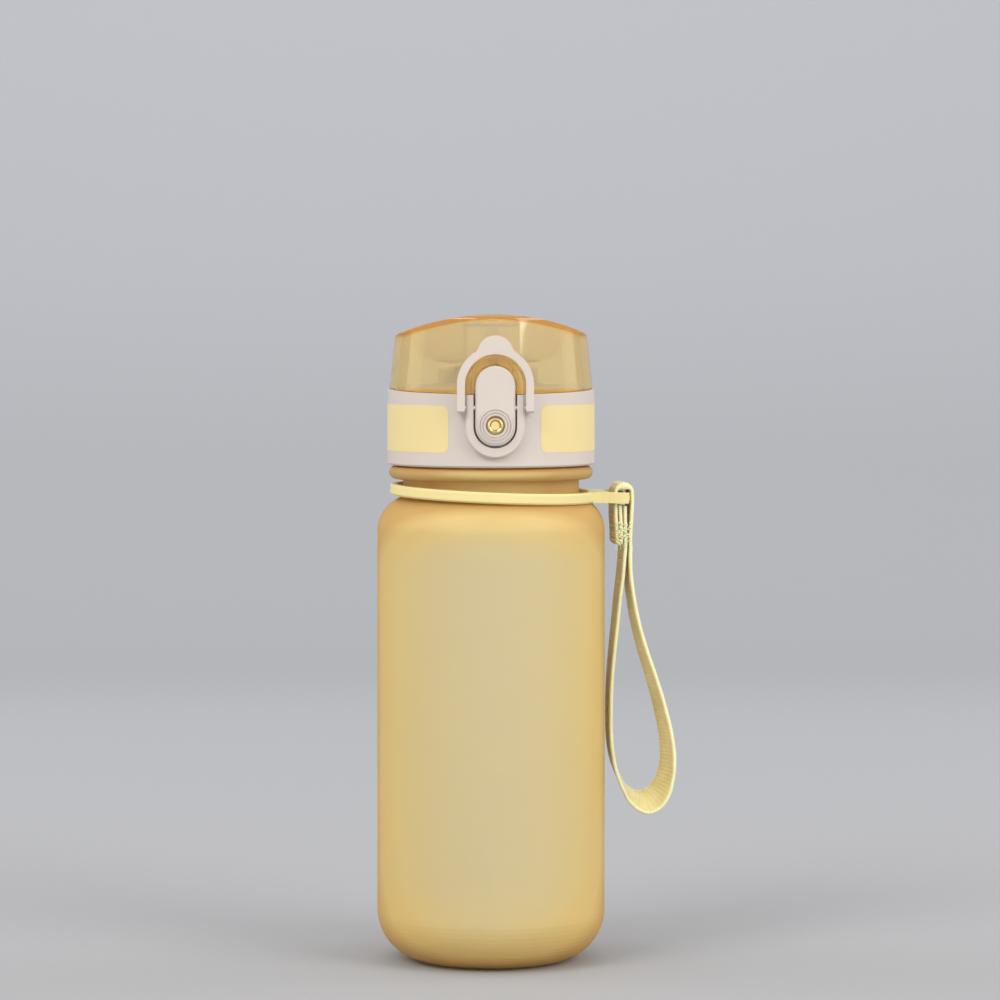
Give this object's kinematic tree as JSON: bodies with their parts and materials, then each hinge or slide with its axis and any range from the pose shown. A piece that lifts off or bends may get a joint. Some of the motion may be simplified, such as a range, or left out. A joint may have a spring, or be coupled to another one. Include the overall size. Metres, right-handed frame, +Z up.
{
  "type": "kids flip-top water bottle",
  "caption": "Frosted amber drinking bottle for children with a screw cap, sprung flip lid, push button, safety loop and a carry ring with a webbing wrist strap.",
  "frame": {"origin": "centre of the base on the bottle's axis", "axes": "+Z up along the bottle, -Y towards the push button, +X towards the side where the strap hangs"},
  "size_m": [0.0859, 0.0657, 0.1842],
  "materials": {
    "bottle_amber": "frosted, translucent",
    "lid_clear_amber": "polished, clear tinted",
    "cap_greige": "fine satin",
    "grip_yellow": "soft-touch",
    "seal_silicone": "milky, satin",
    "pin_steel": "brushed",
    "rivet_brass": "polished",
    "ring_yellow": "satin, slightly translucent",
    "strap_webbing": "ribbed woven webbing",
    "strap_thread": "sewing thread"
  },
  "bodies": {
    "bottle": {"bottle_body": "bottle_amber"},
    "seal": {"neck_seal": "seal_silicone"},
    "cap": {"inner_cap": "cap_greige", "drink_spout": "cap_greige", "collar_shell": "cap_greige", "grip_panel_left": "grip_yellow", "grip_panel_right": "grip_yellow", "hinge_pin": "pin_steel", "hinge_spring": "pin_steel", "pivot_pin": "pin_steel", "button_spring": "pin_steel"},
    "lid": {"flip_lid": "lid_clear_amber", "spout_seal": "seal_silicone"},
    "button": {"push_button": "cap_greige", "button_rivet": "rivet_brass"},
    "loop": {"safety_loop": "cap_greige"},
    "ring": {"carry_ring": "ring_yellow"},
    "strap": {"strap_fold": "strap_webbing", "strap_stitching": "strap_thread", "strap_loop": "strap_webbing"}
  },
  "joints": [
    {"name": "cap_lift", "type": "slide", "parent": "bottle", "child": "seal", "axis": [0, 0, 1], "range_m": [0, 0.012]},
    {"name": "cap_turn", "type": "hinge", "parent": "seal", "child": "cap", "pos_m": [0, 0, 0.15], "axis": [0, 0, 1], "range_deg": [0, 720]},
    {"name": "lid_hinge", "type": "hinge", "parent": "cap", "child": "lid", "pos_m": [0, 0.0276, 0.1676], "axis": [-1, 0, 0], "range_deg": [0, 130]},
    {"name": "button_press", "type": "hinge", "parent": "cap", "child": "button", "pos_m": [0, -0.0302, 0.1582], "axis": [1, 0, 0], "range_deg": [0, 6], "stiffness_Nm_per_rad": 0.03, "springref_deg": -5.73, "deforming": ["button_spring"]},
    {"name": "loop_swing", "type": "hinge", "parent": "cap", "child": "loop", "pos_m": [0, -0.0302, 0.1582], "axis": [1, 0, 0], "range_deg": [0, 100]},
    {"name": "ring_turn", "type": "hinge", "parent": "bottle", "child": "ring", "pos_m": [0, 0, 0.13325], "axis": [0, 0, 1], "continuous": true},
    {"name": "strap_swing", "type": "hinge", "parent": "ring", "child": "strap", "pos_m": [0.03764, 0.00396, 0.13176], "axis": [0.1045, -0.9945, 0], "range_deg": [0, 70]}
  ],
  "couplings": [
    {"joint": "cap_turn", "follows": "cap_lift", "rad_per_m": 1047.2}
  ]
}
